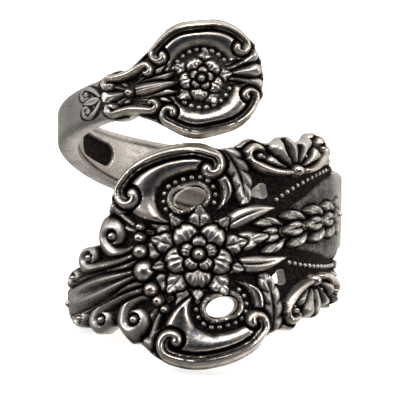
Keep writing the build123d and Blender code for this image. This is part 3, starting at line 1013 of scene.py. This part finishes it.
def window_cutters():
    """One mesh with a prism through each window and each small gap of the wide end."""
    corners, faces = [], []
    turn = np.linspace(0.0, 2 * np.pi, CUTTER_SIDES, endpoint=False)
    for side in (-1, 1):
        for middle_u, middle_v, length, width, pinch in (
            (window_u, window_v, WINDOW_LENGTH, WINDOW_WIDTH, 0.0),
            (gap_u, gap_v, GAP_LENGTH, GAP_WIDTH, GAP_PINCH),
        ):
            reach = 1.0 + pinch * np.cos(3 * turn)
            u = middle_u + length / 2 * reach * np.cos(turn)
            v = side * (middle_v + width / 2 * reach * np.sin(turn))
            near = np.arange(len(corners), len(corners) + CUTTER_SIDES)
            far = near + CUTTER_SIDES
            for radius in CUTTER_RADII:
                corners += in_frame(wound(u, v, radius)).tolist()
            sides = np.stack([near, np.roll(near, -1), np.roll(far, -1), far], axis=-1)
            faces += [near[::-1].tolist(), far.tolist(), *sides.tolist()]
    mesh = bpy.data.meshes.new("window_cutters")
    mesh.from_pydata(corners, [], faces)
    outward(mesh)
    return mesh


def put(name, data):
    """Puts an object with this data in the scene."""
    made = bpy.data.objects.new(name, data)
    bpy.context.scene.collection.objects.link(made)
    return made


def modified(name, mesh, kind, settings, inputs=()):
    """The mesh with one modifier of this kind applied to it, as a plain mesh."""
    carrier = put(name + "_carrier", mesh)
    modifier = carrier.modifiers.new(kind.title(), kind)
    for key, value in settings.items():
        setattr(modifier, key, value)
    for key, value in inputs:
        modifier[key] = value
    bpy.context.view_layer.update()
    shown = carrier.evaluated_get(bpy.context.evaluated_depsgraph_get())
    result = bpy.data.meshes.new_from_object(shown)
    result.name = name
    bpy.data.objects.remove(carrier)
    return result


def add_piece(name, mesh, material, smooth_angle=50.0):
    """Puts a finished mesh in the scene as a piece of the ring."""
    mesh.polygons.foreach_set("use_smooth", np.ones(len(mesh.polygons), bool))
    mesh.set_sharp_from_angle(angle=math.radians(smooth_angle))
    mesh.materials.clear()
    mesh.materials.append(material)
    piece = put(name, mesh)
    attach(piece, "root")
    return piece


# Nodes


def node(tree, kind, inputs=None, **settings):
    """Adds a node and gives its outputs. An input takes another node's output or a value."""
    made = tree.nodes.new(kind)
    made.location = (240 * (len(tree.nodes) % 8), -320 * (len(tree.nodes) // 8))
    for key, value in settings.items():
        setattr(made, key, value)
    for key, value in (inputs or {}).items():
        if isinstance(value, bpy.types.NodeSocket):
            tree.links.new(value, made.inputs[key])
        else:
            made.inputs[key].default_value = value
    return made.outputs


def combined(tree, operation, first, *others, clamp=False):
    """The sum, difference or product of several outputs or numbers, worked out from the left."""
    for other in others:
        settings = {"operation": operation, "use_clamp": clamp}
        first = node(tree, "ShaderNodeMath", {0: first, 1: other}, **settings)["Value"]
    return first


def spread(tree, value, low, high, to_low=0.0, to_high=1.0, smooth=False):
    """An output, with its range from low to high stretched to the range from to_low to to_high."""
    inputs = {
        "Value": value, "From Min": low, "From Max": high, "To Min": to_low, "To Max": to_high,
    }
    kind = "SMOOTHSTEP" if smooth else "LINEAR"
    return node(tree, "ShaderNodeMapRange", inputs, interpolation_type=kind)["Result"]


def mixed(tree, factor, first, second):
    """A mix of two colours, each a colour or an output."""
    first, second = (
        colour if isinstance(colour, bpy.types.NodeSocket) else (*colour, 1.0)
        for colour in (first, second)
    )
    inputs = {"Factor": factor, "A": first, "B": second}
    return node(tree, "ShaderNodeMix", inputs, data_type="RGBA")["Result"]


def blackened_silver(finish):
    """Silver with worn high places, blackened hollows with paler soot in them, painted shade on low
    places and along the inner wall's edges, a painted dark bluish reflection and clouds of tarnish,
    a satin band, a dull inner wall streaked round the back partly as painted shade, specks and
    fine scratches."""
    name = "blackened_silver"
    if name in bpy.data.materials:
        return bpy.data.materials[name]
    material = bpy.data.materials.new(name)
    material.use_nodes = True
    tree = material.node_tree
    places = node(tree, "ShaderNodeTexCoord")["Object"]
    flat = node(tree, "ShaderNodeUVMap", uv_map="flat")["UV"]
    # hollow holds the blackened ground and creases with painted shade; the last is the painted dark
    # reflection
    hollow, polish, inside, painted_reflection = (
        node(tree, "ShaderNodeAttribute", attribute_name=label)["Fac"]
        for label in ("hollow", "polish", "inside", "painted_reflection")
    )

    def clouds(scale, detail, low, high, share):
        """Noise of this scale, and the same spread between 0 and share."""
        inputs = {"Vector": places, "Scale": scale, "Detail": detail, "Roughness": CLOUD_ROUGHNESS}
        made = node(tree, "ShaderNodeTexNoise", inputs)["Fac"]
        return made, spread(tree, made, low, high, 0.0, share)

    def drawn_out(scale):
        """Noise drawn out along the handle."""
        drawn = node(tree, "ShaderNodeMapping", {"Vector": flat, "Scale": (*scale, 1.0)})["Vector"]
        inputs = {"Vector": drawn, "Scale": 1.0, "Detail": 4.0}
        return node(tree, "ShaderNodeTexNoise", inputs)["Fac"]

    (_, patches), (_, warmth), (grain, specks), (_, tarnish), (_, painted_reflection_clouds), (_, soot) = (
        clouds(*one) for one in (PATCHES, WARMTH, SPECKS, TARNISH, PAINTED_REFLECTION_CLOUDS, SOOT)
    )
    satin = combined(tree, "SUBTRACT", 1.0, polish)
    pits = combined(tree, "MULTIPLY", specks, satin)
    dimmed = combined(tree, "MULTIPLY", tarnish, polish)
    # Blackened hollows with painted shade, clouds, pits and dimmed polish, all darkening the colour
    soil_and_shade = combined(tree, "ADD", hollow, patches, pits, dimmed, clamp=True)
    silver = mixed(tree, warmth, finish.silver_colour, finish.warm_colour)
    silver = mixed(tree, satin, silver, finish.satin_colour)
    # Painted dark bluish reflection on the shells and the tongue
    painted_reflection_amount = combined(tree, "MULTIPLY", painted_reflection, painted_reflection_clouds)
    silver = mixed(tree, painted_reflection_amount, silver, finish.painted_reflection_colour)
    wall = mixed(tree, inside, silver, finish.inner_colour)
    # Dark streaks on the inner wall, shown only round the back, partly as painted shade
    along = node(tree, "ShaderNodeSeparateXYZ", {"Vector": flat})["X"]
    back = [
        spread(tree, along, low * UV_SCALE, high * UV_SCALE, smooth=True)
        for low, high in BACK_SHADE_SLOPES
    ]
    streaks = spread(tree, drawn_out(STREAK_SCALE), *STREAKS)
    streaks_and_back_shade = combined(tree, "MULTIPLY", streaks, *back, inside, STREAK_SHARE)
    wall = mixed(tree, streaks_and_back_shade, wall, finish.streak_colour)
    black = mixed(tree, soot, finish.patina_and_shade_colour, finish.soot_colour)
    rough = spread(tree, polish, 0.0, 1.0, finish.satin, finish.polish)
    dull = combined(tree, "MULTIPLY", soil_and_shade, SOIL_AND_SHADE_ROUGHNESS)
    relief = combined(tree, "ADD", drawn_out(SCRATCH_SCALE), grain)
    inputs = {"Strength": SCRATCH_STRENGTH, "Distance": SCRATCH_DEPTH, "Height": relief}
    shader = tree.nodes["Principled BSDF"]
    shader.inputs["Metallic"].default_value = 1.0
    for key, output in (
        ("Base Color", mixed(tree, soil_and_shade, wall, black)),
        ("Roughness", combined(tree, "ADD", rough, dull, clamp=True)),
        ("Normal", node(tree, "ShaderNodeBump", inputs)["Normal"]),
    ):
        tree.links.new(output, shader.inputs[key])
    return material


def bead_tree():
    """The node tree that sets a bead on every point of a row."""
    name = "bead_rows"
    if name in bpy.data.node_groups:
        return bpy.data.node_groups[name]
    tree = bpy.data.node_groups.new(name, "GeometryNodeTree")
    for label, way, kind in (
        ("Geometry", "INPUT", "Geometry"), ("Bead diameter", "INPUT", "Float"),
        ("Unevenness", "INPUT", "Float"), ("Finish", "INPUT", "Material"),
        ("Geometry", "OUTPUT", "Geometry"),
    ):
        tree.interface.new_socket(label, in_out=way, socket_type="NodeSocket" + kind)
    given = node(tree, "NodeGroupInput")
    radius = combined(tree, "MULTIPLY", given["Bead diameter"], 0.5)
    ball = node(tree, "GeometryNodeMeshIcoSphere", {"Radius": radius, "Subdivisions": 3})["Mesh"]
    least = combined(tree, "SUBTRACT", 1.0, given["Unevenness"])
    inputs = {"Min": least, "Max": 1.0, "Seed": BEAD_SEED}
    size = node(tree, "FunctionNodeRandomValue", inputs, data_type="FLOAT")["Value"]
    inputs = {"Points": given["Geometry"], "Instance": ball, "Scale": size}
    beads = node(tree, "GeometryNodeInstanceOnPoints", inputs)["Instances"]
    beads = node(tree, "GeometryNodeRealizeInstances", {"Geometry": beads})["Geometry"]
    inputs = {"Geometry": beads, "Material": given["Finish"]}
    beads = node(tree, "GeometryNodeSetMaterial", inputs)["Geometry"]
    node(tree, "NodeGroupOutput", {"Geometry": beads})
    return tree


def studio_room():
    """A pale room with a bright ceiling, a bright corner behind and a dark place in front."""
    world = bpy.data.worlds.new("studio_room")
    world.use_nodes = True
    tree = world.node_tree
    way = node(tree, "ShaderNodeTexCoord")["Generated"]
    height = node(tree, "ShaderNodeSeparateXYZ", {"Vector": way})["Z"]
    ahead, aside = (
        node(tree, "ShaderNodeVectorMath", {0: way, 1: heading}, operation="DOT_PRODUCT")["Value"]
        for heading in (FRONT, CORNER)
    )
    ceiling, pale, corner = (
        spread(tree, value, *glow, smooth=True)
        for value, glow in ((height, CEILING_GLOW), (ahead, FRONT_GLOW), (aside, CORNER_GLOW))
    )
    glow = combined(tree, "ADD", combined(tree, "MULTIPLY", ceiling, pale), corner)
    background = tree.nodes["Background"]
    tree.links.new(mixed(tree, pale, FRONT_TINT, ROOM_TINT), background.inputs["Color"])
    tree.links.new(glow, background.inputs["Strength"])
    return world


def soft_box(name, place, target, size, power):
    """A rectangular lamp that faces a place."""
    lamp = bpy.data.lights.new(name, "AREA")
    lamp.shape = "RECTANGLE"
    lamp.size, lamp.size_y = size
    lamp.energy = power
    box = put(name, lamp)
    box.location = place
    box.rotation_euler = (Vector(target) - Vector(place)).to_track_quat("-Z", "Y").to_euler()


def pale_floor(colour):
    """A wide plain floor that stays out of reflections."""
    mesh = bpy.data.meshes.new("floor")
    far = FLOOR_REACH
    corners = [(-far, -far, 0.0), (far, -far, 0.0), (far, far, 0.0), (-far, far, 0.0)]
    mesh.from_pydata(corners, [], [(0, 1, 2, 3)])
    floor = put("floor", mesh)
    paper = bpy.data.materials.new("floor_paper")
    paper.use_nodes = True
    for key, value in (
        ("Base Color", (*colour, 1.0)), ("Roughness", FLOOR_ROUGHNESS),
        ("Emission Color", (1.0, 1.0, 1.0, 1.0)), ("Emission Strength", FLOOR_GLOW),
    ):
        paper.node_tree.nodes["Principled BSDF"].inputs[key].default_value = value
    mesh.materials.append(paper)
    floor.visible_glossy = False


def photo_camera(tilt, distance):
    """A camera that looks across the finger hole, with the photograph's view and scale."""
    ahead = np.array([0.0, math.cos(tilt), -math.sin(tilt)]) @ RING_AXES
    above = np.array([0.0, math.sin(tilt), math.cos(tilt)]) @ RING_AXES
    lens = bpy.data.cameras.new("camera")
    view = PHOTO_WIDTH / PHOTO_PIXELS_PER_MM * MM
    lens.sensor_width = SENSOR_WIDTH
    lens.lens = SENSOR_WIDTH * distance / view
    lens.clip_start = 0.01
    camera = put("camera", lens)
    turned = Matrix((np.cross(ahead, above), above, -ahead)).transposed()
    eye = in_frame(np.array(CAMERA_AIM)) - ahead * distance
    camera.matrix_world = Matrix.Translation(eye) @ turned.to_4x4()
    return camera


def main():
    """Registers the add-on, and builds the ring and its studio."""
    register()
    bpy.ops.spoon_ring.handle()
    bpy.ops.spoon_ring.wide_end()
    bpy.ops.spoon_ring.beads()
    bpy.ops.spoon_ring.studio()


class SPOONRING_OT_handle(bpy.types.Operator):
    """Build the round end, the neck and the plain band."""

    bl_idname = "spoon_ring.handle"
    bl_label = "Round end and band"

    def execute(self, context):
        sizes, finish = context.scene.ring_sizes, context.scene.ring_finish
        reach = PLATE_LENGTH / 2 + 0.1
        places = spaced(
            (0.0, sizes.mesh_step / MM), (CARVED_END, PLAIN_STEP), (plate_u - reach, PLATE_STEP),
            (plate_u - plate_straight, PLAIN_STEP), (plate_u + plate_straight, PLATE_STEP),
            (plate_u + reach, PLAIN_STEP), end=SEAM,
        )
        mesh = shell_mesh("round_end_and_band", places, carve_round_end, sizes)
        piece = add_piece("round_end_and_band", mesh, blackened_silver(finish))
        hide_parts("spoon_ring")
        return {"FINISHED"}


class SPOONRING_OT_wide_end(bpy.types.Operator):
    """Build the wide carved end with its pierced windows."""

    bl_idname = "spoon_ring.wide_end"
    bl_label = "Wide end"

    def execute(self, context):
        sizes, finish = context.scene.ring_sizes, context.scene.ring_finish
        places = spaced((SEAM, sizes.mesh_step / MM), end=handle_length)
        whole = shell_mesh("wide_end", places, carve_wide_end, sizes)
        cutter = put("window_cutters", window_cutters())
        cut = {"operation": "DIFFERENCE", "solver": "MANIFOLD", "object": cutter}
        mesh = modified("wide_end", whole, "BOOLEAN", cut)
        bpy.data.objects.remove(cutter)
        add_piece("wide_end", mesh, blackened_silver(finish))
        return {"FINISHED"}


class SPOONRING_OT_beads(bpy.types.Operator):
    """Set the beaded rows in their channels."""

    bl_idname = "spoon_ring.beads"
    bl_label = "Beaded rows"

    def execute(self, context):
        sizes, finish = context.scene.ring_sizes, context.scene.ring_finish
        flat = bead_places(sizes)
        radius = BORE_RADIUS + GROUND_THICKNESS + sizes.bead_diameter / MM * 0.25
        points = bpy.data.meshes.new("bead_points")
        points.from_pydata(in_frame(wound(flat[:, 0], flat[:, 1], radius)).tolist(), [], [])
        silver, tree = blackened_silver(finish), bead_tree()
        given = {
            "Bead diameter": sizes.bead_diameter, "Unevenness": BEAD_UNEVENNESS, "Finish": silver,
        }
        inputs = [
            (item.identifier, given[item.name])
            for item in tree.interface.items_tree if item.name in given
        ]
        mesh = modified("beads", points, "NODES", {"node_group": tree}, inputs)
        add_piece("beads", mesh, silver, 80.0)
        return {"FINISHED"}


class SPOONRING_OT_studio(bpy.types.Operator):
    """Set up the pale floor, the soft lamps and the camera."""

    bl_idname = "spoon_ring.studio"
    bl_label = "Studio"

    def execute(self, context):
        scene, studio = context.scene, context.scene.ring_studio
        pale_floor(studio.floor_colour)
        scene.world = studio_room()
        middle = [(low + high) / 2 for low, high in zip(*cad_box)]
        for name, place, size, share in LAMPS:
            soft_box(name, place, middle, size, studio.lamp_power * share)
        scene.camera = photo_camera(studio.camera_tilt, studio.camera_distance)
        scene.view_settings.view_transform = "Standard"
        return {"FINISHED"}


class SPOONRING_PT_panel(bpy.types.Panel):
    """Lists the ring's pieces and its sizes."""

    bl_label = "Spoon Ring"
    bl_idname = "SPOONRING_PT_panel"
    bl_space_type = "VIEW_3D"
    bl_region_type = "UI"
    bl_category = "Spoon Ring"

    def draw(self, context):
        layout = self.layout
        for operator in OPERATORS:
            layout.operator(operator.bl_idname)
        for name, group in SETTINGS.items():
            for key in group.__annotations__:
                layout.prop(getattr(context.scene, name), key)


OPERATORS = (SPOONRING_OT_handle, SPOONRING_OT_wide_end, SPOONRING_OT_beads, SPOONRING_OT_studio)
SETTINGS = {"ring_sizes": HandleSizes, "ring_finish": SilverFinish, "ring_studio": StudioSettings}
CLASSES = (*SETTINGS.values(), *OPERATORS, SPOONRING_PT_panel)


def register():
    """Registers the classes and their settings on the scene."""
    for one in CLASSES:
        bpy.utils.register_class(one)
    for name, group in SETTINGS.items():
        setattr(bpy.types.Scene, name, bpy.props.PointerProperty(type=group))


def unregister():
    """Removes the settings and the classes."""
    for name in SETTINGS:
        delattr(bpy.types.Scene, name)
    for one in reversed(CLASSES):
        bpy.utils.unregister_class(one)


if __name__ == "__main__":
    main()
